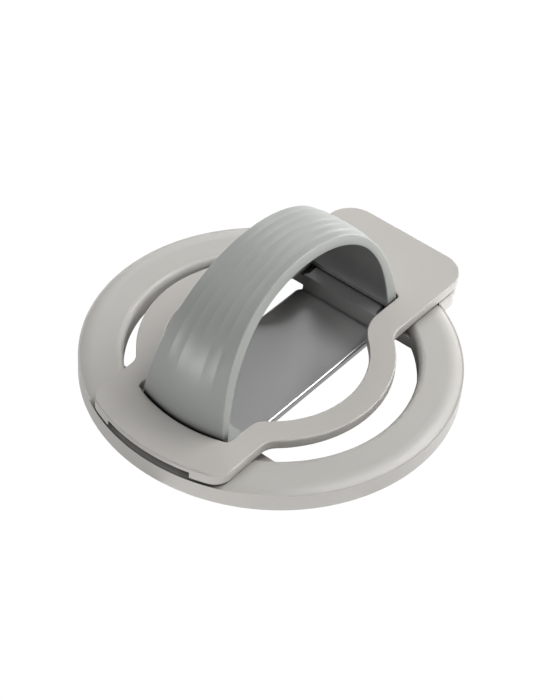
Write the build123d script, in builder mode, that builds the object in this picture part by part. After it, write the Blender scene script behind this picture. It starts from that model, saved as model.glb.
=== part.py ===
# Finger-strap holder with a fold-out stand, for the back of a phone.
# Millimetres, real size, Z up. The origin is the centre of the magnet ring on
# the face that lies on the phone. X runs across the strap, +Y towards the
# stand's hinge, +Z away from the phone.
from build123d import *
import math
import os

os.makedirs("parts", exist_ok=True)

# ---- driving dimensions -------------------------------------------------
# magnet ring
RING_R = 28.5            # outside of the ring
BORE_R = 21.8            # inside of the ring
TRAY_Z0 = 0.05           # underside of the inner rim and the bridges
TRAY_EDGE = 0.12         # small chamfer at the foot of the outer wall
TRAY_FLOOR_Z0 = 0.5      # roof of the pad's recess
TRAY_FLOOR_Z1 = 1.0      # floor that the magnets stand on
TRAY_WALL_IN_R = 27.3    # inside of the outer wall
TRAY_INNER_OUT_R = 23.0  # outside of the inner rim
RIM_STEP_Z = 2.75        # ledge that carries the cover
RIM_TOP_Z = 2.95         # top of the thin visible rim
RIM_IN_R = 28.2
RIM_EDGE = 0.28          # rounding of the rim's outer edge
BRIDGE_Z = 1.9           # top of the two bridges and of the inner rim
NEAR_BRIDGE_Y = -15.75
FAR_BRIDGE_Y = 17.6

# cover
COVER_OUT_R = 28.2       # pressed in, flush with the rim
COVER_TOP_Z = 3.5
COVER_EDGE_Z = 2.95
COVER_FLAT_R = 26.0      # the dome starts here
COVER_FILLET = 1.05      # rounding of the inner edge
COVER_SKIRT_OUT_R = 23.1

# inside the ring
MAGNET_COUNT = 16
MAGNET_R0, MAGNET_R1 = 23.35, 27.05
MAGNET_Z0, MAGNET_Z1 = 1.0, 2.15
MAGNET_GAP = 0.4         # between neighbouring magnets
SHIELD_R0, SHIELD_R1 = 23.25, 27.15
SHIELD_Z0, SHIELD_Z1 = 2.15, 2.65
GLUE_Z1 = 2.75
PAD_R0, PAD_R1 = 22.35, 27.95
PAD_Z1 = 0.4

# stand plate
STAND_Z0 = 3.8
STAND_Z1 = 5.35
LOOP_Y = -1.35           # centre of the loop
LOOP_OUT_R = 19.1
LOOP_IN_R = 15.15
EAR_HALF_W = 12.3
EAR_R = 28.55            # near edge, concentric with the ring
EAR_CORNER = 3.0
EAR_Z0 = 3.6             # the ear is a little deeper than the rest
EAR_DEEP_R = 22.9
TAB_HALF_W = 12.06
TAB_Y = 33.3
TAB_CORNER = 4.5
NEAR_CH_HALF_W = 8.5     # opening beside the strap's near foot
NEAR_CH_R = 21.65
FAR_CH_HALF_W = 7.62
FAR_CH_Y = 20.7          # far end of the opening, at its corners
FAR_CH_CROWN_Y = 21.9    # and in the middle
SLOT_X0, SLOT_X1 = -7.35, 7.75
SLOT_Z1 = 4.6
SLOT_R = 23.0            # how far in the slot reaches
EDGE = 0.22              # small rounding of the plate's edges

# lug and hinge
HINGE_Y = 31.2
HINGE_Z = 2.3
LUG_HALF_W = 12.06
LUG_Y = 32.5
LUG_CORNER = 4.0
LUG_Z0 = 0.6
LUG_Z1 = 3.55
LUG_EDGE = 0.7
LUG_NOSE_R = 1.3         # top of the lug's far end, about the hinge axis
KNUCKLE_HALF = 5.0
KNUCKLE_R = 1.15
LUG_SLOT_HALF = 6.2
LUG_SLOT_Y = 29.9
PIN_R = 0.6
PIN_X0, PIN_X1 = -10.2, 10.2
PLUG_R = 0.9
PLUG_X0 = -10.8
BUSH_R0, BUSH_R1 = 0.63, 0.85
WASHER_R0, WASHER_R1 = 0.66, 1.1

# strap, its lining and its feet
ARCH_Z = 5.0             # the arch stands on this height
ARCH_Y = 0.3             # centre of its sections
FOOT_W = 14.9            # width at the feet
# angle from the near foot, outside radius along the edges, inside radius,
# half width, and how much the outside is higher in the middle
ARCH = (
    (0, 20.30, 19.00, 7.45, 1.20),
    (12, 20.20, 18.60, 7.00, 0.98),
    (24, 20.30, 18.30, 6.41, 0.78),
    (36, 20.50, 18.20, 5.85, 0.59),
    (48, 20.69, 18.20, 5.36, 0.44),
    (60, 20.76, 18.20, 5.01, 0.32),
    (72, 20.65, 18.20, 4.83, 0.24),
    (84, 20.43, 18.20, 4.75, 0.20),
    (96, 20.26, 18.20, 4.72, 0.20),
    (108, 20.18, 18.28, 4.69, 0.24),
    (120, 20.16, 18.45, 4.73, 0.32),
    (132, 20.18, 18.72, 4.87, 0.43),
    (144, 20.23, 18.94, 5.16, 0.58),
    (156, 20.29, 18.96, 5.65, 0.76),
    (168, 20.30, 18.70, 6.38, 0.96),
    (180, 20.20, 18.10, 7.45, 1.15),
)
NEAR_IN_Y = ARCH_Y - ARCH[0][2]       # inside of the feet
FAR_IN_Y = ARCH_Y + ARCH[-1][2]
NEAR_EDGE_Y = ARCH_Y - ARCH[0][1]     # outside of the feet, at their edges
FAR_EDGE_Y = ARCH_Y + ARCH[-1][1]
LINER_T = 0.35
NEAR_FOOT_Y = -15.2      # end of the turned-in near foot
NEAR_FOOT_Z = 3.0
FAR_FOOT_Y = 18.45       # end of the turned-in far foot
LIP = 0.2                # strap beside the lining, on each side
LINER_GAP = 0.2          # between the lining's end and the shelf

# centre plate
PLATE_HALF_W = 7.65
STEP_HALF_W = 6.95       # the plate is narrower from the step's foot on
SHELF_HALF_W = 6.4
PLATE_T = 0.95
PLATE_NEAR_Y = -19.3
PLATE_BEND_Y = 16.05     # foot of the step
STEP_FOOT_R = 0.6
STEP_TOP = (16.15, 3.85)
STEP_ROLL_R = 1.2        # broad rounding at the top of the step
SHELF_Y = 18.4           # the shelf is level from here on
SHELF_Z = 4.2
SHELF_END_Y = 20.1
PLATE_EDGE = 0.42        # rounding of the long edges

# screws
SCREW_X = 4.2
NEAR_SCREW_Y = -17.6
FAR_SCREW_Y = 19.1
SCREW_R = 0.6
HEAD_R = 1.15
HEAD_H = 0.55


# ---- base: tray with its two bridges and the hinge lug --------------------
with BuildPart() as lug:
    with BuildSketch(Plane.XY.offset(LUG_Z0)) as s:
        with Locations((0, (22.0 + LUG_Y) / 2)):
            Rectangle(2 * LUG_HALF_W, LUG_Y - 22.0)
        fillet(s.vertices().group_by(Axis.Y)[-1], LUG_CORNER)
        Circle(RIM_IN_R, mode=Mode.SUBTRACT)
    extrude(amount=LUG_Z1 - LUG_Z0)
    rounded = lug.edges().filter_by(
        lambda e: abs(e.center().Z - LUG_Z1) < 1e-4 and e.center().Y > 25.0
        and abs(math.hypot(e.center().X, e.center().Y) - RIM_IN_R) > 0.25)
    fillet(rounded, LUG_EDGE)
    # far end turned about the hinge axis
    with BuildSketch(Plane.YZ) as s:
        with Locations((HINGE_Y + 2.0, HINGE_Z + 2.0)):
            Rectangle(4.0, 4.0)
        with Locations((HINGE_Y, HINGE_Z)):
            Circle(LUG_NOSE_R, mode=Mode.SUBTRACT)
    extrude(amount=15.0, both=True, mode=Mode.SUBTRACT)
    # gap for the stand's knuckle
    with BuildSketch(Plane.XY.offset(LUG_Z0 - 1.0)) as s:
        with Locations((0, (LUG_SLOT_Y + 36.0) / 2)):
            Rectangle(2 * LUG_SLOT_HALF, 36.0 - LUG_SLOT_Y)
    extrude(amount=4.0, mode=Mode.SUBTRACT)
    # bore for the pin, with a wider mouth for its plug on the left
    with BuildSketch(Plane.YZ.offset(PIN_X0)) as s:
        with Locations((HINGE_Y, HINGE_Z)):
            Circle(PIN_R)
    extrude(amount=PIN_X1 - PIN_X0, mode=Mode.SUBTRACT)
    with BuildSketch(Plane.YZ.offset(-14.0)) as s:
        with Locations((HINGE_Y, HINGE_Z)):
            Circle(PLUG_R)
    extrude(amount=PIN_X0 + 14.0, mode=Mode.SUBTRACT)

with BuildPart() as base_tray:
    with BuildSketch(Plane.XZ) as s:
        with BuildLine():
            Polyline(
                (BORE_R, TRAY_Z0 + 0.15), (BORE_R + 0.15, TRAY_Z0),
                (PAD_R0, TRAY_Z0), (PAD_R0, TRAY_FLOOR_Z0),
                (PAD_R1, TRAY_FLOOR_Z0), (PAD_R1, 0.0),
                (RING_R - TRAY_EDGE, 0.0), (RING_R, TRAY_EDGE),
                (RING_R, RIM_TOP_Z), (RIM_IN_R, RIM_TOP_Z),
                (RIM_IN_R, RIM_STEP_Z), (TRAY_WALL_IN_R, RIM_STEP_Z),
                (TRAY_WALL_IN_R, TRAY_FLOOR_Z1), (TRAY_INNER_OUT_R, TRAY_FLOOR_Z1),
                (TRAY_INNER_OUT_R, BRIDGE_Z), (BORE_R, BRIDGE_Z),
                close=True)
        make_face()
        fillet(s.vertices().filter_by(
            lambda v: abs(v.X - RING_R) < 0.01 and abs(v.Z - RIM_TOP_Z) < 0.01), RIM_EDGE)
    revolve(axis=Axis.Z)
    # bridges across the bore, near and far
    with BuildSketch(Plane.XY.offset(TRAY_Z0)) as s:
        Circle(BORE_R + 0.3)
        with Locations((0, (NEAR_BRIDGE_Y + FAR_BRIDGE_Y) / 2)):
            Rectangle(80.0, FAR_BRIDGE_Y - NEAR_BRIDGE_Y, mode=Mode.SUBTRACT)
    extrude(amount=BRIDGE_Z - TRAY_Z0)
    add(lug.part)
    # rebate under the near bridge for the centre plate's end
    with BuildSketch(Plane.XY) as s:
        with Locations((0, (PLATE_NEAR_Y - 0.1 + NEAR_BRIDGE_Y) / 2)):
            Rectangle(2 * PLATE_HALF_W + 0.2, NEAR_BRIDGE_Y - PLATE_NEAR_Y + 0.1)
    extrude(amount=PLATE_T, mode=Mode.SUBTRACT)
    # screw holes
    with BuildSketch(Plane.XY) as s:
        with Locations((-SCREW_X, NEAR_SCREW_Y), (SCREW_X, NEAR_SCREW_Y),
                       (-SCREW_X, FAR_SCREW_Y), (SCREW_X, FAR_SCREW_Y)):
            Circle(SCREW_R)
    extrude(amount=BRIDGE_Z, mode=Mode.SUBTRACT)
    with BuildSketch(Plane.XY) as s:
        with Locations((-SCREW_X, FAR_SCREW_Y), (SCREW_X, FAR_SCREW_Y)):
            Circle(HEAD_R)
    extrude(amount=TRAY_Z0 + HEAD_H, mode=Mode.SUBTRACT)
base_tray.part.label = "base_tray"
export_step(base_tray.part, "parts/base_tray.step")


# ---- cover of the ring: domed outside, rounded inner edge ------------------
with BuildPart() as ring_cover:
    with BuildSketch(Plane.XZ) as s:
        with BuildLine():
            h = COVER_FILLET * math.sqrt(0.5)
            ThreePointArc(
                (BORE_R, COVER_TOP_Z - COVER_FILLET),
                (BORE_R + COVER_FILLET - h, COVER_TOP_Z - COVER_FILLET + h),
                (BORE_R + COVER_FILLET, COVER_TOP_Z))
            Line((BORE_R + COVER_FILLET, COVER_TOP_Z), (COVER_FLAT_R, COVER_TOP_Z))
            TangentArc((COVER_FLAT_R, COVER_TOP_Z), (COVER_OUT_R, COVER_EDGE_Z),
                       tangent=(1, 0))
            Polyline(
                (COVER_OUT_R, COVER_EDGE_Z), (COVER_OUT_R, RIM_STEP_Z),
                (COVER_SKIRT_OUT_R, RIM_STEP_Z), (COVER_SKIRT_OUT_R, BRIDGE_Z),
                (BORE_R, BRIDGE_Z), (BORE_R, COVER_TOP_Z - COVER_FILLET))
        make_face()
    revolve(axis=Axis.Z)
ring_cover.part.label = "ring_cover"
export_step(ring_cover.part, "parts/ring_cover.step")


# ---- inside the ring -------------------------------------------------------
with BuildPart() as ring_magnets:
    with BuildSketch(Plane.XY.offset(MAGNET_Z0)) as s:
        Circle(MAGNET_R1)
        Circle(MAGNET_R0, mode=Mode.SUBTRACT)
        with PolarLocations((MAGNET_R0 + MAGNET_R1) / 2, MAGNET_COUNT):
            Rectangle(6.0, MAGNET_GAP, mode=Mode.SUBTRACT)
    extrude(amount=MAGNET_Z1 - MAGNET_Z0)
ring_magnets.part.label = "ring_magnets"
export_step(ring_magnets.part, "parts/ring_magnets.step")

with BuildPart() as shield_ring:
    with BuildSketch(Plane.XY.offset(SHIELD_Z0)) as s:
        Circle(SHIELD_R1)
        Circle(SHIELD_R0, mode=Mode.SUBTRACT)
    extrude(amount=SHIELD_Z1 - SHIELD_Z0)
shield_ring.part.label = "shield_ring"
export_step(shield_ring.part, "parts/shield_ring.step")

with BuildPart() as cover_adhesive:
    with BuildSketch(Plane.XY.offset(SHIELD_Z1)) as s:
        Circle(SHIELD_R1)
        Circle(SHIELD_R0, mode=Mode.SUBTRACT)
    extrude(amount=GLUE_Z1 - SHIELD_Z1)
cover_adhesive.part.label = "cover_adhesive"
export_step(cover_adhesive.part, "parts/cover_adhesive.step")

with BuildPart() as pad_adhesive:
    with BuildSketch(Plane.XY.offset(PAD_Z1)) as s:
        Circle(PAD_R1)
        Circle(PAD_R0, mode=Mode.SUBTRACT)
    extrude(amount=TRAY_FLOOR_Z0 - PAD_Z1)
pad_adhesive.part.label = "pad_adhesive"
export_step(pad_adhesive.part, "parts/pad_adhesive.step")

with BuildPart() as grip_pad:
    with BuildSketch(Plane.XY) as s:
        Circle(PAD_R1)
        Circle(PAD_R0, mode=Mode.SUBTRACT)
    extrude(amount=PAD_Z1)
grip_pad.part.label = "grip_pad"
export_step(grip_pad.part, "parts/grip_pad.step")


# ---- stand plate: ear, loop, neck and tab in one flat piece ----------------
with BuildSketch(Plane.XY) as ear_outline:
    Circle(EAR_R)
    with Locations((0, -22.0)):
        Rectangle(2 * EAR_HALF_W, 20.0, mode=Mode.INTERSECT)
    fillet(ear_outline.vertices().filter_by(lambda v: v.Y < -20.0), EAR_CORNER)

with BuildSketch(Plane.XY) as stand_outline:
    with Locations((0, LOOP_Y)):
        Circle(LOOP_OUT_R)
    add(ear_outline.sketch)
    with Locations((0, (TAB_Y + 5.0) / 2)):
        Rectangle(2 * TAB_HALF_W, TAB_Y - 5.0)
    fillet(stand_outline.vertices().filter_by(
        lambda v: v.Y > TAB_Y - 0.1), TAB_CORNER)
    fillet(stand_outline.vertices().filter_by(
        lambda v: -18.0 < v.Y < -14.0 and abs(abs(v.X) - EAR_HALF_W) < 0.2), 3.2)
    fillet(stand_outline.vertices().filter_by(
        lambda v: 12.0 < v.Y < 15.0 and abs(abs(v.X) - TAB_HALF_W) < 0.2), 3.0)

with BuildSketch(Plane.XY) as near_channel:
    Circle(NEAR_CH_R)
    with Locations((0, -20.0)):
        Rectangle(2 * NEAR_CH_HALF_W, 20.0, mode=Mode.INTERSECT)
    fillet(near_channel.vertices().filter_by(lambda v: v.Y < -15.0), 0.8)

with BuildSketch(Plane.XY) as far_channel:
    with BuildLine():
        ThreePointArc((-FAR_CH_HALF_W, FAR_CH_Y), (0, FAR_CH_CROWN_Y),
                      (FAR_CH_HALF_W, FAR_CH_Y))
        Polyline((FAR_CH_HALF_W, FAR_CH_Y), (FAR_CH_HALF_W, 9.0),
                 (-FAR_CH_HALF_W, 9.0), (-FAR_CH_HALF_W, FAR_CH_Y))
    make_face()
    fillet(far_channel.vertices().filter_by(lambda v: v.Y > 15.0), 0.6)

with BuildSketch(Plane.XY) as stand_opening:
    with Locations((0, LOOP_Y)):
        Circle(LOOP_IN_R)
    add(near_channel.sketch)
    add(far_channel.sketch)
    fillet(stand_opening.vertices().filter_by(
        lambda v: -16.0 < v.Y < -12.0 and abs(abs(v.X) - NEAR_CH_HALF_W) < 0.2), 3.5)
    fillet(stand_opening.vertices().filter_by(
        lambda v: 10.0 < v.Y < 14.0 and abs(abs(v.X) - FAR_CH_HALF_W) < 0.2), 7.0)

with BuildPart() as stand_frame:
    with BuildSketch(Plane.XY.offset(STAND_Z0)) as s:
        add(stand_outline.sketch)
        add(stand_opening.sketch, mode=Mode.SUBTRACT)
    extrude(amount=STAND_Z1 - STAND_Z0)
    fillet(stand_frame.edges().filter_by(
        lambda e: abs(e.center().Z - STAND_Z1) < 1e-4), EDGE)
    # deeper ear, resting just above the ring
    with BuildSketch(Plane.XY.offset(EAR_Z0)) as s:
        add(ear_outline.sketch)
        Circle(EAR_DEEP_R, mode=Mode.SUBTRACT)
    extrude(amount=STAND_Z0 - EAR_Z0 + 0.2)
    # slot in the underside of the ear, open at the near edge
    with BuildSketch(Plane.XY.offset(EAR_Z0 - 0.5)) as s:
        with Locations(((SLOT_X0 + SLOT_X1) / 2, -27.0)):
            Rectangle(SLOT_X1 - SLOT_X0, 10.0)
        Circle(SLOT_R, mode=Mode.SUBTRACT)
    extrude(amount=SLOT_Z1 - EAR_Z0 + 0.5, mode=Mode.SUBTRACT)
    # knuckle below the tab
    with BuildSketch(Plane.YZ.offset(-KNUCKLE_HALF)) as s:
        with Locations((HINGE_Y, HINGE_Z)):
            Circle(KNUCKLE_R)
        with Locations((HINGE_Y, (HINGE_Z + STAND_Z0 + 0.2) / 2)):
            Rectangle(2 * KNUCKLE_R, STAND_Z0 + 0.2 - HINGE_Z)
    extrude(amount=2 * KNUCKLE_HALF)
    with BuildSketch(Plane.YZ.offset(-KNUCKLE_HALF)) as s:
        with Locations((HINGE_Y, HINGE_Z)):
            Circle(BUSH_R1)
    extrude(amount=2 * KNUCKLE_HALF, mode=Mode.SUBTRACT)
stand_frame.part.label = "stand_frame"
export_step(stand_frame.part, "parts/stand_frame.step")


# ---- hinge -----------------------------------------------------------------
with BuildPart() as knuckle_bush:
    with BuildSketch(Plane.YZ.offset(-KNUCKLE_HALF)) as s:
        with Locations((HINGE_Y, HINGE_Z)):
            Circle(BUSH_R1)
            Circle(BUSH_R0, mode=Mode.SUBTRACT)
    extrude(amount=2 * KNUCKLE_HALF)
knuckle_bush.part.label = "knuckle_bush"
export_step(knuckle_bush.part, "parts/knuckle_bush.step")

with BuildPart() as hinge_pin:
    with BuildSketch(Plane.YZ.offset(PIN_X0)) as s:
        with Locations((HINGE_Y, HINGE_Z)):
            Circle(PIN_R)
    extrude(amount=PIN_X1 - PIN_X0)
hinge_pin.part.label = "hinge_pin"
export_step(hinge_pin.part, "parts/hinge_pin.step")

with BuildPart() as pin_plug:
    with BuildSketch(Plane.YZ.offset(PLUG_X0)) as s:
        with Locations((HINGE_Y, HINGE_Z)):
            Circle(PLUG_R)
    extrude(amount=PIN_X0 - PLUG_X0)
pin_plug.part.label = "pin_plug"
export_step(pin_plug.part, "parts/pin_plug.step")

with BuildPart() as thrust_washers:
    for x in (-KNUCKLE_HALF - 0.34, KNUCKLE_HALF + 0.04):
        with BuildSketch(Plane.YZ.offset(x)) as s:
            with Locations((HINGE_Y, HINGE_Z)):
                Circle(WASHER_R1)
                Circle(WASHER_R0, mode=Mode.SUBTRACT)
        extrude(amount=0.3)
thrust_washers.part.label = "thrust_washers"
export_step(thrust_washers.part, "parts/thrust_washers.step")

# two cupped washers, each pressing against the side of the lug's gap
with BuildPart() as spring_washers:
    for side in (-1, 1):
        with BuildSketch(Plane.XY.offset(HINGE_Z)) as s:
            with BuildLine():
                Polyline(
                    (side * 5.40, HINGE_Y + WASHER_R0), (side * 5.70, HINGE_Y + WASHER_R0),
                    (side * 6.15, HINGE_Y + WASHER_R1), (side * 5.85, HINGE_Y + WASHER_R1),
                    close=True)
            make_face()
        revolve(axis=Axis((0, HINGE_Y, HINGE_Z), (1, 0, 0)))
spring_washers.part.label = "spring_washers"
export_step(spring_washers.part, "parts/spring_washers.step")


# ---- centre plate: floor strip, step and shelf in one bent piece -----------
with BuildPart() as centre_plate:
    with BuildSketch(Plane.YZ) as s:
        with BuildLine():
            Polyline(
                (PLATE_NEAR_Y, 0.0), (PLATE_BEND_Y + PLATE_T, 0.0),
                (STEP_TOP[0] + PLATE_T, STEP_TOP[1] - PLATE_T + 0.1),
                (SHELF_Y, SHELF_Z - PLATE_T), (SHELF_END_Y, SHELF_Z - PLATE_T),
                (SHELF_END_Y, SHELF_Z), (SHELF_Y, SHELF_Z), STEP_TOP,
                (PLATE_BEND_Y, PLATE_T), (PLATE_NEAR_Y, PLATE_T),
                close=True)
        make_face()
        fillet(s.vertices().filter_by(
            lambda v: abs(v.Y - PLATE_BEND_Y) < 0.01 and abs(v.Z - PLATE_T) < 0.01),
            STEP_FOOT_R)
        fillet(s.vertices().filter_by(
            lambda v: abs(v.Y - STEP_TOP[0]) < 0.01 and abs(v.Z - STEP_TOP[1]) < 0.01),
            STEP_ROLL_R)
        fillet(s.vertices().filter_by(
            lambda v: abs(v.Y - PLATE_BEND_Y - PLATE_T) < 0.01 and abs(v.Z) < 0.01), 1.2)
        fillet(s.vertices().filter_by(
            lambda v: abs(v.Y - STEP_TOP[0] - PLATE_T) < 0.01
            and abs(v.Z - STEP_TOP[1] + PLATE_T - 0.1) < 0.01), 0.25)
    extrude(amount=PLATE_HALF_W, both=True)
    # the long edges of the upper side are rounded
    fillet(centre_plate.edges().filter_by(
        lambda e: abs(abs(e.center().X) - PLATE_HALF_W) < 1e-3
        and (e.center().Y < 16.6 and e.center().Z > PLATE_T - 0.01
             or 16.6 <= e.center().Y < SHELF_END_Y - 0.05 and e.center().Z > 3.6)),
        PLATE_EDGE)
    # both sides drawn in along the step and the shelf
    with BuildSketch(Plane.XY.offset(-0.5)) as s:
        for side in (-1, 1):
            with BuildLine():
                Polyline(
                    (side * (PLATE_HALF_W + 0.5), PLATE_BEND_Y - 1.3),
                    (side * PLATE_HALF_W, PLATE_BEND_Y - 1.0),
                    (side * (PLATE_HALF_W - 0.25), PLATE_BEND_Y - 0.65),
                    (side * (STEP_HALF_W + 0.12), PLATE_BEND_Y - 0.3),
                    (side * STEP_HALF_W, PLATE_BEND_Y),
                    (side * (STEP_HALF_W - 0.1), PLATE_BEND_Y + 0.3),
                    (side * SHELF_HALF_W, PLATE_BEND_Y + 1.0),
                    (side * SHELF_HALF_W, SHELF_END_Y + 0.5),
                    (side * (PLATE_HALF_W + 0.5), SHELF_END_Y + 0.5),
                    close=True)
            make_face()
    extrude(amount=SHELF_Z + 1.0, mode=Mode.SUBTRACT)
    # near screws: through holes with flat seats for their heads
    with BuildSketch(Plane.XY) as s:
        with Locations((-SCREW_X, NEAR_SCREW_Y), (SCREW_X, NEAR_SCREW_Y)):
            Circle(SCREW_R)
    extrude(amount=PLATE_T, mode=Mode.SUBTRACT)
    with BuildSketch(Plane.XY) as s:
        with Locations((-SCREW_X, NEAR_SCREW_Y), (SCREW_X, NEAR_SCREW_Y)):
            Circle(HEAD_R)
    extrude(amount=HEAD_H + 0.1, mode=Mode.SUBTRACT)
    # far screws end blind in the shelf
    with BuildSketch(Plane.XY.offset(SHELF_Z - PLATE_T)) as s:
        with Locations((-SCREW_X, FAR_SCREW_Y), (SCREW_X, FAR_SCREW_Y)):
            Circle(SCREW_R)
    extrude(amount=PLATE_T - 0.2, mode=Mode.SUBTRACT)
centre_plate.part.label = "centre_plate"
export_step(centre_plate.part, "parts/centre_plate.step")


# ---- lining of the arch's inside ------------------------------------------
def arch_plane(deg):
    """Section plane of the arch: local x across the strap, local y outwards."""
    a = math.radians(deg)
    radial = Vector(0, -math.cos(a), math.sin(a))
    return Plane(origin=(0, ARCH_Y, ARCH_Z), x_dir=(1, 0, 0),
                 z_dir=Vector(1, 0, 0).cross(radial))


with BuildPart() as arch_liner:
    for deg, edge, inner, half_w, crown in ARCH:
        with BuildSketch(arch_plane(deg)) as s:
            with Locations((0, inner + LINER_T / 2)):
                Rectangle(2 * (half_w - LIP), LINER_T)
    loft()
    # straight ends, down to the near foot and almost to the shelf
    with BuildSketch(Plane.XY.offset(NEAR_FOOT_Z)) as s:
        with Locations((0, NEAR_IN_Y - LINER_T / 2)):
            Rectangle(FOOT_W - 2 * LIP, LINER_T)
    extrude(amount=ARCH_Z - NEAR_FOOT_Z)
    with BuildSketch(Plane.XY.offset(SHELF_Z + LINER_GAP)) as s:
        with Locations((0, FAR_IN_Y + LINER_T / 2)):
            Rectangle(FOOT_W - 2 * LIP, LINER_T)
    extrude(amount=ARCH_Z - SHELF_Z - LINER_GAP)
arch_liner.part.label = "arch_liner"
export_step(arch_liner.part, "parts/arch_liner.step")


# ---- strap -----------------------------------------------------------------
# room that the lining takes out of the strap's inside, on down to the shelf
with BuildPart() as liner_seat:
    for deg, edge, inner, half_w, crown in ARCH:
        with BuildSketch(arch_plane(deg)) as s:
            with Locations((0, inner + (LINER_T - 0.8) / 2)):
                Rectangle(2 * (half_w - LIP), LINER_T + 0.8)
    loft()
    with BuildSketch(Plane.XY.offset(NEAR_FOOT_Z)) as s:
        with Locations((0, NEAR_IN_Y - (LINER_T - 0.8) / 2)):
            Rectangle(FOOT_W - 2 * LIP, LINER_T + 0.8)
    extrude(amount=ARCH_Z - NEAR_FOOT_Z)
    with BuildSketch(Plane.XY.offset(SHELF_Z)) as s:
        with Locations((0, FAR_IN_Y + (LINER_T - 0.8) / 2)):
            Rectangle(FOOT_W - 2 * LIP, LINER_T + 0.8)
    extrude(amount=ARCH_Z - SHELF_Z)

with BuildPart() as strap:
    for deg, edge, inner, half_w, crown in ARCH:
        with BuildSketch(arch_plane(deg)) as s:
            with BuildLine():
                Line((-half_w, inner), (half_w, inner))
                Line((half_w, inner), (half_w, edge))
                ThreePointArc((half_w, edge), (0, edge + crown), (-half_w, edge))
                Line((-half_w, edge), (-half_w, inner))
            make_face()
    loft()
    # upright part of the near foot
    with BuildSketch(Plane.XY.offset(BRIDGE_Z)) as s:
        with BuildLine():
            ThreePointArc((-FOOT_W / 2, NEAR_EDGE_Y), (0, NEAR_EDGE_Y - ARCH[0][4]),
                          (FOOT_W / 2, NEAR_EDGE_Y))
            Polyline((FOOT_W / 2, NEAR_EDGE_Y), (FOOT_W / 2, NEAR_IN_Y),
                     (-FOOT_W / 2, NEAR_IN_Y), (-FOOT_W / 2, NEAR_EDGE_Y))
        make_face()
    extrude(amount=ARCH_Z - BRIDGE_Z)
    # upright part of the far foot
    with BuildSketch(Plane.XY.offset(BRIDGE_Z)) as s:
        with BuildLine():
            ThreePointArc((-FOOT_W / 2, FAR_EDGE_Y), (0, FAR_EDGE_Y + ARCH[-1][4]),
                          (FOOT_W / 2, FAR_EDGE_Y))
            Polyline((FOOT_W / 2, FAR_EDGE_Y), (FOOT_W / 2, FAR_IN_Y),
                     (-FOOT_W / 2, FAR_IN_Y), (-FOOT_W / 2, FAR_EDGE_Y))
        make_face()
    extrude(amount=ARCH_Z - BRIDGE_Z)
    add(liner_seat.part, mode=Mode.SUBTRACT)
    # feet turned in, on the near bridge and between far bridge and shelf
    with BuildSketch(Plane.XY.offset(BRIDGE_Z)) as s:
        with Locations((0, (NEAR_FOOT_Y - 19.0) / 2)):
            Rectangle(FOOT_W, 19.0 + NEAR_FOOT_Y)
    extrude(amount=NEAR_FOOT_Z - BRIDGE_Z)
    with BuildSketch(Plane.XY.offset(BRIDGE_Z)) as s:
        with Locations((0, (FAR_FOOT_Y + 19.0) / 2)):
            Rectangle(FOOT_W, 19.0 - FAR_FOOT_Y)
    extrude(amount=SHELF_Z - PLATE_T - BRIDGE_Z)
    # room for the shelf's end, right across the far foot
    with BuildSketch(Plane.XY.offset(SHELF_Z - PLATE_T)) as s:
        with Locations((0, (17.0 + SHELF_END_Y) / 2)):
            Rectangle(FOOT_W + 1.0, SHELF_END_Y - 17.0)
    extrude(amount=PLATE_T, mode=Mode.SUBTRACT)
    # pocket of the near foot's nut strip and the screw holes
    with BuildSketch(Plane.XY.offset(2.2)) as s:
        with Locations((0, -17.8)):
            Rectangle(12.4, 3.8)
    extrude(amount=0.5, mode=Mode.SUBTRACT)
    with BuildSketch(Plane.XY.offset(BRIDGE_Z)) as s:
        with Locations((-SCREW_X, NEAR_SCREW_Y), (SCREW_X, NEAR_SCREW_Y)):
            Circle(SCREW_R)
    extrude(amount=0.3, mode=Mode.SUBTRACT)
    with BuildSketch(Plane.XY.offset(BRIDGE_Z)) as s:
        with Locations((-SCREW_X, FAR_SCREW_Y), (SCREW_X, FAR_SCREW_Y)):
            Circle(SCREW_R)
    extrude(amount=SHELF_Z - PLATE_T - BRIDGE_Z, mode=Mode.SUBTRACT)
strap.part.label = "strap"
export_step(strap.part, "parts/strap.step")

# threaded steel strip inside the near foot
with BuildPart() as foot_nut_strip:
    with BuildSketch(Plane.XY.offset(2.2)) as s:
        with Locations((0, -17.8)):
            Rectangle(12.4, 3.8)
        with Locations((-SCREW_X, NEAR_SCREW_Y), (SCREW_X, NEAR_SCREW_Y)):
            Circle(SCREW_R, mode=Mode.SUBTRACT)
    extrude(amount=0.5)
foot_nut_strip.part.label = "foot_nut_strip"
export_step(foot_nut_strip.part, "parts/foot_nut_strip.step")


# ---- screws, from below ----------------------------------------------------
with BuildPart() as near_screws:
    with BuildSketch(Plane.XY.offset(0.1)) as s:
        with Locations((-SCREW_X, NEAR_SCREW_Y), (SCREW_X, NEAR_SCREW_Y)):
            Circle(HEAD_R)
    extrude(amount=HEAD_H)
    with BuildSketch(Plane.XY.offset(0.1)) as s:
        with Locations((-SCREW_X, NEAR_SCREW_Y), (SCREW_X, NEAR_SCREW_Y)):
            Circle(SCREW_R)
    extrude(amount=2.6)
    with BuildSketch(Plane.XY.offset(0.1)) as s:
        with Locations((-SCREW_X, NEAR_SCREW_Y), (SCREW_X, NEAR_SCREW_Y)):
            Rectangle(1.3, 0.3)
            Rectangle(0.3, 1.3)
    extrude(amount=0.3, mode=Mode.SUBTRACT)
near_screws.part.label = "near_screws"
export_step(near_screws.part, "parts/near_screws.step")

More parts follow.
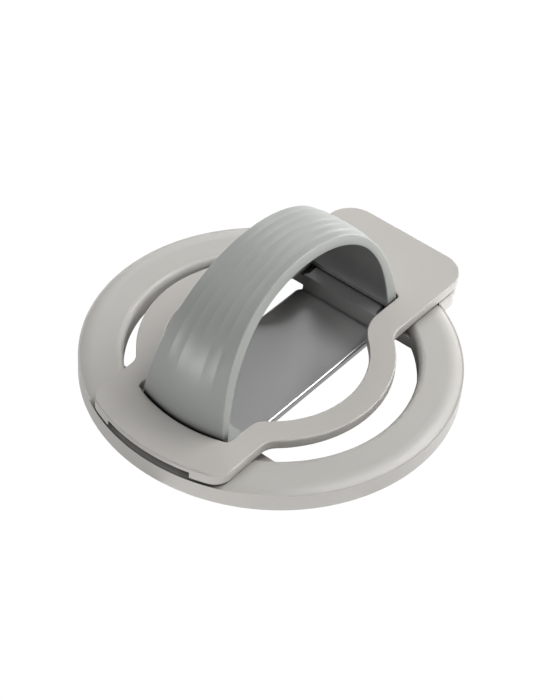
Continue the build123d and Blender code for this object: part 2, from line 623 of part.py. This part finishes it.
with BuildPart() as far_screws:
    with BuildSketch(Plane.XY.offset(TRAY_Z0)) as s:
        with Locations((-SCREW_X, FAR_SCREW_Y), (SCREW_X, FAR_SCREW_Y)):
            Circle(HEAD_R)
    extrude(amount=HEAD_H)
    with BuildSketch(Plane.XY.offset(TRAY_Z0)) as s:
        with Locations((-SCREW_X, FAR_SCREW_Y), (SCREW_X, FAR_SCREW_Y)):
            Circle(SCREW_R)
    extrude(amount=SHELF_Z - 0.2 - TRAY_Z0)
    with BuildSketch(Plane.XY.offset(TRAY_Z0)) as s:
        with Locations((-SCREW_X, FAR_SCREW_Y), (SCREW_X, FAR_SCREW_Y)):
            Rectangle(1.3, 0.3)
            Rectangle(0.3, 1.3)
    extrude(amount=0.3, mode=Mode.SUBTRACT)
far_screws.part.label = "far_screws"
export_step(far_screws.part, "parts/far_screws.step")
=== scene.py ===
import bpy
import math
from mathutils import Vector, Matrix


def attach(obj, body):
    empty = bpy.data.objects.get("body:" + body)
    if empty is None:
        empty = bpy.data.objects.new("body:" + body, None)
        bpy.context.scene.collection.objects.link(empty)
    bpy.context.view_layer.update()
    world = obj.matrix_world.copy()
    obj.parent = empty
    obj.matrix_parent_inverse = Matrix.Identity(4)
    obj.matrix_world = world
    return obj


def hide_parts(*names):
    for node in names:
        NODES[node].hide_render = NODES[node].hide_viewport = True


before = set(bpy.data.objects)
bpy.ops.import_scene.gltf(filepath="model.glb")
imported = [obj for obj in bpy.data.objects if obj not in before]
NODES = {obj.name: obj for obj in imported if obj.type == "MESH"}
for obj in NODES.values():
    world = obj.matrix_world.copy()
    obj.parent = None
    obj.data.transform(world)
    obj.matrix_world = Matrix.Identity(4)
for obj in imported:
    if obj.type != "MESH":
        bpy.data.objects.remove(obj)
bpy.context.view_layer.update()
MM = 0.001

# ---------------------------------------------------------------- dimensions
# the same numbers as the construction, in millimetres
ARCH_Y, ARCH_Z = 0.3, 5.0
FOOT_W, LIP, LINER_T = 14.9, 0.2, 0.35
# angle from the near foot, outside radius along the edges, inside radius,
# half width, and how much the outside is higher in the middle
ARCH = (
    (0, 20.30, 19.00, 7.45, 1.20),
    (12, 20.20, 18.60, 7.00, 0.94),
    (24, 20.30, 18.30, 6.41, 0.70),
    (36, 20.50, 18.20, 5.85, 0.49),
    (48, 20.69, 18.20, 5.36, 0.33),
    (60, 20.76, 18.20, 5.01, 0.20),
    (72, 20.65, 18.20, 4.83, 0.11),
    (84, 20.43, 18.20, 4.75, 0.07),
    (96, 20.26, 18.20, 4.72, 0.07),
    (108, 20.18, 18.28, 4.69, 0.11),
    (120, 20.16, 18.45, 4.73, 0.20),
    (132, 20.18, 18.72, 4.87, 0.31),
    (144, 20.23, 18.94, 5.16, 0.47),
    (156, 20.29, 18.96, 5.65, 0.67),
    (168, 20.30, 18.70, 6.38, 0.90),
    (180, 20.20, 18.10, 7.45, 1.15),
)


# ---------------------------------------------------------------- mesh tools
def make_object(name, verts, faces, body, smooth=True):
    mesh = bpy.data.meshes.new(name)
    mesh.from_pydata([(x * MM, y * MM, z * MM) for x, y, z in verts], [], faces)
    mesh.validate()
    mesh.update()
    obj = bpy.data.objects.new(name, mesh)
    bpy.context.scene.collection.objects.link(obj)
    for p in mesh.polygons:
        p.use_smooth = smooth
    mesh.set_sharp_from_angle(angle=math.radians(32.0))
    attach(obj, body)
    return obj


def sweep(name, rings, body, cap=True):
    """A closed skin through equal-length rings of points, capped at both ends."""
    n = len(rings[0])
    verts = [p for ring in rings for p in ring]
    faces = []
    for i in range(len(rings) - 1):
        for j in range(n):
            k = (j + 1) % n
            faces.append((i * n + j, i * n + k, (i + 1) * n + k, (i + 1) * n + j))
    if cap:
        faces.append(tuple(reversed(range(n))))
        last = (len(rings) - 1) * n
        faces.append(tuple(range(last, last + n)))
    return make_object(name, verts, faces, body)


def smoothstep(a, b, x):
    t = min(1.0, max(0.0, (x - a) / (b - a)))
    return t * t * (3 - 2 * t)


# ---------------------------------------------------------------- materials
def new_material(name):
    mat = bpy.data.materials.new(name)
    mat.use_nodes = True
    nt = mat.node_tree
    bsdf = nt.nodes["Principled BSDF"]
    return mat, nt, bsdf


def srgb(r, g, b):
    def lin(c):
        c /= 255.0
        return c / 12.92 if c <= 0.04045 else ((c + 0.055) / 1.055) ** 2.4
    return (lin(r), lin(g), lin(b), 1.0)


def satin(name, colour, rough, metallic=0.0, specular=0.5, grain=0.012,
          grain_scale=9000.0, mottle=0.035, bump=0.00001, painted_shade_reach=0.0022):
    """Fine satin surface: slight cloudy variation of colour, fine grain in
    roughness and height, all from object-space noise, and painted shade:
    base colour and specular darkened in narrow gaps by an ambient-occlusion node, standing
    in for contact shadow."""
    mat, nt, bsdf = new_material(name)
    N, L = nt.nodes, nt.links
    coord = N.new("ShaderNodeTexCoord")
    cloud = N.new("ShaderNodeTexNoise")
    cloud.inputs["Scale"].default_value = 90.0
    cloud.inputs["Detail"].default_value = 3.0
    fine = N.new("ShaderNodeTexNoise")
    fine.inputs["Scale"].default_value = grain_scale
    fine.inputs["Detail"].default_value = 2.0
    L.new(coord.outputs["Object"], cloud.inputs["Vector"])
    L.new(coord.outputs["Object"], fine.inputs["Vector"])
    ramp = N.new("ShaderNodeMix")
    ramp.data_type = "RGBA"
    dark = tuple(c * (1 - mottle) for c in colour[:3]) + (1.0,)
    light = tuple(min(1.0, c * (1 + mottle)) for c in colour[:3]) + (1.0,)
    ramp.inputs["A"].default_value = dark
    ramp.inputs["B"].default_value = light
    add = N.new("ShaderNodeMath")
    add.operation = "MULTIPLY_ADD"
    add.inputs[1].default_value = 0.35
    L.new(fine.outputs["Fac"], add.inputs[0])
    scale = N.new("ShaderNodeMath")
    scale.operation = "MULTIPLY"
    scale.inputs[1].default_value = 0.65
    L.new(cloud.outputs["Fac"], scale.inputs[0])
    L.new(scale.outputs[0], add.inputs[2])
    L.new(add.outputs[0], ramp.inputs["Factor"])
    # painted shade: an ambient-occlusion node darkens the base colour towards 4% of itself
    # in narrow gaps and along contact lines
    gap = N.new("ShaderNodeAmbientOcclusion")
    gap.samples = 12
    gap.inputs["Distance"].default_value = painted_shade_reach
    open_ = N.new("ShaderNodeMapRange")
    open_.inputs["From Min"].default_value = 0.08
    open_.inputs["From Max"].default_value = 0.85
    open_.inputs["To Min"].default_value = 0.0
    open_.inputs["To Max"].default_value = 1.0
    L.new(gap.outputs["AO"], open_.inputs["Value"])
    shade = N.new("ShaderNodeMix")
    shade.data_type = "RGBA"
    shade.inputs["A"].default_value = tuple(c * 0.04 for c in colour[:3]) + (1.0,)
    L.new(open_.outputs["Result"], shade.inputs["Factor"])
    L.new(ramp.outputs["Result"], shade.inputs["B"])
    L.new(shade.outputs["Result"], bsdf.inputs["Base Color"])
    # painted shade: the specular level drops with the same occlusion, so the gaps lose their
    # sheen
    gloss = N.new("ShaderNodeMath")
    gloss.operation = "MULTIPLY"
    gloss.inputs[1].default_value = specular
    L.new(open_.outputs["Result"], gloss.inputs[0])
    L.new(gloss.outputs[0], bsdf.inputs["Specular IOR Level"])
    rr = N.new("ShaderNodeMapRange")
    rr.inputs["To Min"].default_value = rough - grain * 3
    rr.inputs["To Max"].default_value = rough + grain * 3
    L.new(fine.outputs["Fac"], rr.inputs["Value"])
    L.new(rr.outputs["Result"], bsdf.inputs["Roughness"])
    b = N.new("ShaderNodeBump")
    b.inputs["Strength"].default_value = 0.25
    b.inputs["Distance"].default_value = bump
    L.new(fine.outputs["Fac"], b.inputs["Height"])
    L.new(b.outputs["Normal"], bsdf.inputs["Normal"])
    bsdf.inputs["Metallic"].default_value = metallic
    return mat


M_RING = satin("ring_satin", srgb(200, 197, 192), 0.36)
M_COVER = satin("cover_satin", srgb(199, 197, 192), 0.34)
M_STAND = satin("stand_satin", srgb(199, 196, 191), 0.34)
M_STRAP = satin("strap_silicone", srgb(171, 174, 170), 0.34, specular=0.6, grain=0.012,
                grain_scale=5000.0, mottle=0.03)
M_PLATE = satin("plate_satin", srgb(202, 202, 202), 0.31, metallic=0.85, grain=0.01,
                painted_shade_reach=0.001)
M_LINER = satin("liner_satin", srgb(132, 132, 132), 0.4, metallic=0.6, grain=0.01,
                painted_shade_reach=0.001)
M_STEEL = satin("bare_steel", (0.42, 0.42, 0.43, 1), 0.35, metallic=1.0)
M_SPRING = satin("spring_steel", (0.33, 0.33, 0.34, 1), 0.32, metallic=1.0)
M_NICKEL = satin("nickel", (0.60, 0.59, 0.56, 1), 0.25, metallic=1.0)
M_BRASS = satin("turned_brass", (0.66, 0.50, 0.22, 1), 0.3, metallic=1.0)
M_TAPE = satin("tape", srgb(225, 223, 215), 0.6)
M_PAD = satin("pad_silicone", srgb(150, 152, 150), 0.62, grain=0.02, grain_scale=4000.0)

for node, mat in {
        "base_tray": M_RING, "ring_cover": M_COVER, "ring_magnets": M_NICKEL,
        "shield_ring": M_STEEL, "cover_adhesive": M_TAPE, "pad_adhesive": M_TAPE,
        "grip_pad": M_PAD, "stand_frame": M_STAND, "knuckle_bush": M_BRASS,
        "hinge_pin": M_STEEL, "pin_plug": M_STAND, "thrust_washers": M_STEEL,
        "spring_washers": M_SPRING, "centre_plate": M_PLATE, "arch_liner": M_LINER,
        "strap": M_STRAP, "foot_nut_strip": M_STEEL, "near_screws": M_STEEL,
        "far_screws": M_STEEL}.items():
    obj = NODES[node]
    obj.data.materials.clear()
    obj.data.materials.append(mat)


# ---------------------------------------------------------------- strap
def natural_spline(xs, ys):
    """Natural cubic spline through the points, as a function."""
    n = len(xs)
    h = [xs[i + 1] - xs[i] for i in range(n - 1)]
    m = [0.0] * n
    cp, dp = [0.0] * n, [0.0] * n
    for i in range(1, n - 1):
        rhs = 6 * ((ys[i + 1] - ys[i]) / h[i] - (ys[i] - ys[i - 1]) / h[i - 1])
        den = 2 * (h[i - 1] + h[i]) - h[i - 1] * cp[i - 1]
        cp[i] = h[i] / den
        dp[i] = (rhs - h[i - 1] * dp[i - 1]) / den
    for i in range(n - 2, 0, -1):
        m[i] = dp[i] - cp[i] * m[i + 1]

    def f(x):
        i = 0
        while i < n - 2 and x > xs[i + 1]:
            i += 1
        a, b, w = xs[i + 1] - x, x - xs[i], h[i]
        return ((m[i] * a ** 3 + m[i + 1] * b ** 3) / (6 * w)
                + (ys[i] / w - m[i] * w / 6) * a + (ys[i + 1] / w - m[i + 1] * w / 6) * b)
    return f


def strap_stations():
    """Side profile: inner point, outer point, half width, crown height, ridge
    strength and lining seat for each station from the near foot's end to the
    far foot's end."""
    st = []
    fw = FOOT_W / 2
    degs = [row[0] for row in ARCH]
    edge_f, inner_f, half_f, crown_f = (
        natural_spline(degs, [row[k] for row in ARCH]) for k in (1, 2, 3, 4))
    y_near, y_far = ARCH_Y - ARCH[0][2], ARCH_Y + ARCH[-1][2]
    e_near, e_far = ARCH_Y - ARCH[0][1], ARCH_Y + ARCH[-1][1]

    for y_in, z_in, y_out, z_out, crown, seat in (
            (-15.2, 2.85, -15.2, 1.9, 0.0, 0.0), (-15.25, 2.97, -15.22, 1.9, 0.0, 0.0),
            (-15.4, 3.0, -15.5, 1.9, 0.0, 0.0), (-17.0, 3.0, -17.4, 1.9, 0.0, 0.0),
            (y_near + 0.02, 3.0, -19.4, 1.9, 0.0, 0.0),
            (y_near, 3.0, e_near, 2.0, 1.1, 0.0),
            (y_near, 3.01, e_near, 2.1, 1.2, 1.0),
            (y_near, 3.6, e_near, 3.2, 1.2, 1.0), (y_near, 4.3, e_near, 4.15, 1.2, 1.0)):
        st.append(((y_in, z_in), (y_out, z_out), fw, crown, 0.0, seat))
    steps = 144
    for i in range(steps + 1):
        deg = 180.0 * i / steps
        a = math.radians(deg)
        c, s = math.cos(a), math.sin(a)
        edge, inner = edge_f(deg), inner_f(deg)
        ridge = smoothstep(10, 52, deg) * (1 - smoothstep(130, 165, deg))
        st.append(((ARCH_Y - inner * c, ARCH_Z + inner * s),
                   (ARCH_Y - edge * c, ARCH_Z + edge * s),
                   half_f(deg), crown_f(deg), ridge, 1.0))
    for y_in, z_in, y_out, z_out, crown, seat in (
            (y_far, 4.6, e_far, 4.5, 1.15, 1.0), (y_far, 4.21, e_far, 4.25, 1.15, 1.0),
            (y_far + 0.02, 4.2, e_far, 4.2, 1.15, 0.0), (20.1, 4.2, e_far, 4.0, 1.15, 0.0),
            (20.1, 3.25, e_far, 2.6, 1.15, 0.0), (20.0, 3.25, e_far - 0.05, 1.95, 1.05, 0.0),
            (19.6, 3.25, 20.1, 1.9, 0.0, 0.0), (18.45, 3.25, 18.45, 1.9, 0.0, 0.0)):
        st.append(((y_in, z_in), (y_out, z_out), fw, crown, 0.0, seat))
    return st


RIDGES = 6
RIDGE_H = 0.12
ACROSS = 96
EDGE_R = 0.2


def strap_rings():
    rings = []
    turns = [math.radians(b) for b in (15, 30, 45, 60, 75, 90)]
    for (yi, zi), (yo, zo), hw, crown, ridge, seat in strap_stations():
        ny, nz = yo - yi, zo - zi
        t = math.hypot(ny, nz)
        ny, nz = ny / t, nz / t
        ring = []
        # outer face from left to right, rounded at both ends
        for k in range(ACROSS + 1):
            u = -1 + 2 * k / ACROSS
            x = u * (hw - EDGE_R)
            full = x / hw
            h = crown * (1 - full * full)
            phase = (u * 0.5 + 0.5) * RIDGES
            if abs(u) < 1 - 1 / RIDGES:
                h += ridge * RIDGE_H * (1 - abs(math.sin(math.pi * phase)))
            ring.append((x, yo + ny * h, zo + nz * h))
        drop = crown * (1 - ((hw - EDGE_R) / hw) ** 2)
        right = []
        for i, b in enumerate(turns):
            x, h = hw - EDGE_R * (1 - math.sin(b)), -EDGE_R * (1 - math.cos(b))
            h += drop * (1 - (i + 1) / 6)
            right.append((x, yo + ny * h, zo + nz * h))
        # inner side: small rounding, lip, seat of the lining, lip, rounding
        r2 = 0.06
        d = seat * (LINER_T + 0.01)
        w = hw - LIP + 0.005
        low = [(hw, yi + ny * r2, zi + nz * r2),
               (hw - r2 * 0.3, yi + ny * r2 * 0.3, zi + nz * r2 * 0.3),
               (hw - r2, yi, zi), (w, yi, zi), (w, yi + ny * d, zi + nz * d)]
        low_left = [(-x, y, z) for x, y, z in reversed(low)]
        inner = [(w * v, yi + ny * d, zi + nz * d) for v in (0.6, 0.2, -0.2, -0.6)]
        left = [(-x, y, z) for x, y, z in reversed(right)]
        ring = ring + right + low + inner + low_left + left
        rings.append(ring)
    return rings


strap = sweep("finger_strap", strap_rings(), "base")
strap.data.materials.append(M_STRAP)
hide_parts("strap")


# ---------------------------------------------------------------- stage
def plane(name, size, z, colour_strength):
    mesh = bpy.data.meshes.new(name)
    s = size / 2
    mesh.from_pydata([(-s, -s, z), (s, -s, z), (s, s, z), (-s, s, z)], [], [(0, 1, 2, 3)])
    obj = bpy.data.objects.new(name, mesh)
    bpy.context.scene.collection.objects.link(obj)
    return obj


floor = plane("floor", 4.0, -0.00002, 1.0)
mat = bpy.data.materials.new("floor_white")
mat.use_nodes = True
nt = mat.node_tree
for n in list(nt.nodes):
    nt.nodes.remove(n)
out = nt.nodes.new("ShaderNodeOutputMaterial")
em = nt.nodes.new("ShaderNodeEmission")
em.inputs["Color"].default_value = (1.0, 1.0, 1.0, 1.0)
em.inputs["Strength"].default_value = 1.02
nt.links.new(em.outputs[0], out.inputs["Surface"])
floor.data.materials.append(mat)
floor.visible_diffuse = False
floor.visible_glossy = False
floor.visible_shadow = False

# the light that comes back from the floor: strong around the object, weak in
# the shade under it
def floor_ring(name, r0, r1, z, strength, a0=0.0, a1=360.0):
    mesh = bpy.data.meshes.new(name)
    n = 72
    verts, faces = [], []
    for i in range(n + 1):
        w = math.radians(a0 + (a1 - a0) * i / n)
        verts.append((r0 * math.cos(w), r0 * math.sin(w), z))
        verts.append((r1 * math.cos(w), r1 * math.sin(w), z))
    for i in range(n):
        faces.append((2 * i, 2 * i + 1, 2 * i + 3, 2 * i + 2))
    mesh.from_pydata(verts, [], faces)
    return glow_floor(name, mesh, strength)


def glow_floor(name, mesh, strength):
    obj = bpy.data.objects.new(name, mesh)
    bpy.context.scene.collection.objects.link(obj)
    glow = mat.copy()
    glow.name = name
    glow.node_tree.nodes["Emission"].inputs["Strength"].default_value = strength
    obj.data.materials.append(glow)
    obj.visible_camera = False
    obj.visible_shadow = False
    return obj


# six sectors, the first towards the camera, then anticlockwise
for k, strength in enumerate((1.19, 1.00, 1.57, 1.08, 1.8, 0.62)):
    floor_ring("bounce_%d" % k, 0.0285, 3.0, -0.00001, strength,
               -83.0 + 60.0 * k, -23.0 + 60.0 * k)
shade_floor = floor_ring("shade_floor", 0.0001, 0.0283, -0.00001, 0.01)
# lit floor in the opening on the right of the centre plate
strip = bpy.data.meshes.new("plate_floor")
strip.from_pydata([(0.0077, -0.0150, -0.000005), (0.0115, -0.0150, -0.000005),
                   (0.0115, 0.0155, -0.000005), (0.0077, 0.0155, -0.000005)],
                  [], [(0, 1, 2, 3)])
glow_floor("plate_floor", strip, 0.5)

world = bpy.data.worlds.new("studio")
world.use_nodes = True
bg = world.node_tree.nodes["Background"]
bg.inputs["Color"].default_value = (1.0, 1.0, 1.0, 1.0)
bg.inputs["Strength"].default_value = 0.01
bpy.context.scene.world = world


def area(name, az, el, dist, size_x, size_y, power, target=(0.0, 0.0, 0.008)):
    """Soft box seen from azimuth az (0 looks along +Y) at elevation el."""
    light = bpy.data.lights.new(name, "AREA")
    light.shape = "RECTANGLE"
    light.size = size_x
    light.size_y = size_y
    light.energy = power
    obj = bpy.data.objects.new(name, light)
    bpy.context.scene.collection.objects.link(obj)
    a, e = math.radians(az), math.radians(el)
    back = Vector((math.sin(a) * math.cos(e), -math.cos(a) * math.cos(e), math.sin(e)))
    obj.location = Vector(target) + back * dist
    obj.rotation_mode = "QUATERNION"
    obj.rotation_quaternion = (-back).to_track_quat("-Z", "Y")
    return obj


# soft boxes half a metre away: azimuth, elevation, width, height, watts
for az, el, w, h, watts in (
        (130, 70, 0.20, 0.14, 0.571), (72, 70, 0.32, 0.24, 0.323),
        (150, 48, 0.32, 0.18, 1.285), (285, 48, 0.32, 0.18, 0.168),
        (240, 48, 0.32, 0.18, 0.030), (180, 26, 0.26, 0.18, 0.201),
        (225, 26, 0.26, 0.18, 0.304), (334, 12, 0.20, 0.08, 0.109),
        (90, 6, 0.26, 0.12, 0.290), (135, 6, 0.26, 0.12, 0.191),
        (180, 6, 0.26, 0.12, 0.502), (225, 6, 0.26, 0.12, 0.081),
        (334, 3, 0.14, 0.08, 0.367), (344, 3, 0.14, 0.08, 0.084)):
    area("box_%03d_%02d" % (az, el), az, el, 0.5, w, h, watts)

# ---------------------------------------------------------------- camera
AZ, EL, ROLL = 36.64, 43.71, 4.30
DIST, TX, TY, F_PX = 330.39, -2.52, 2.93, 2205.0
a, e, r = math.radians(AZ), math.radians(EL), math.radians(ROLL)
back = Vector((math.sin(a) * math.cos(e), -math.cos(a) * math.cos(e), math.sin(e)))
right = Vector((math.cos(a), math.sin(a), 0.0))
up = back.cross(right)
r2 = right * math.cos(r) + up * math.sin(r)
u2 = up * math.cos(r) - right * math.sin(r)
cam_data = bpy.data.cameras.new("camera")
cam = bpy.data.objects.new("camera", cam_data)
bpy.context.scene.collection.objects.link(cam)
pos = (Vector((TX, TY, 0.0)) + back * DIST) * MM
m = Matrix((
    (r2.x, u2.x, back.x, pos.x),
    (r2.y, u2.y, back.y, pos.y),
    (r2.z, u2.z, back.z, pos.z),
    (0.0, 0.0, 0.0, 1.0)))
cam.matrix_world = m
cam_data.sensor_fit = "AUTO"
cam_data.sensor_width = 36.0
cam_data.lens = F_PX / 700.0 * 36.0
cam_data.clip_start = 0.01
cam_data.clip_end = 10.0
bpy.context.scene.camera = cam

bpy.context.scene.view_settings.view_transform = "Standard"
bpy.context.scene.view_settings.look = "None"
bpy.context.scene.view_settings.exposure = 0.0
bpy.context.scene.view_settings.gamma = 1.0
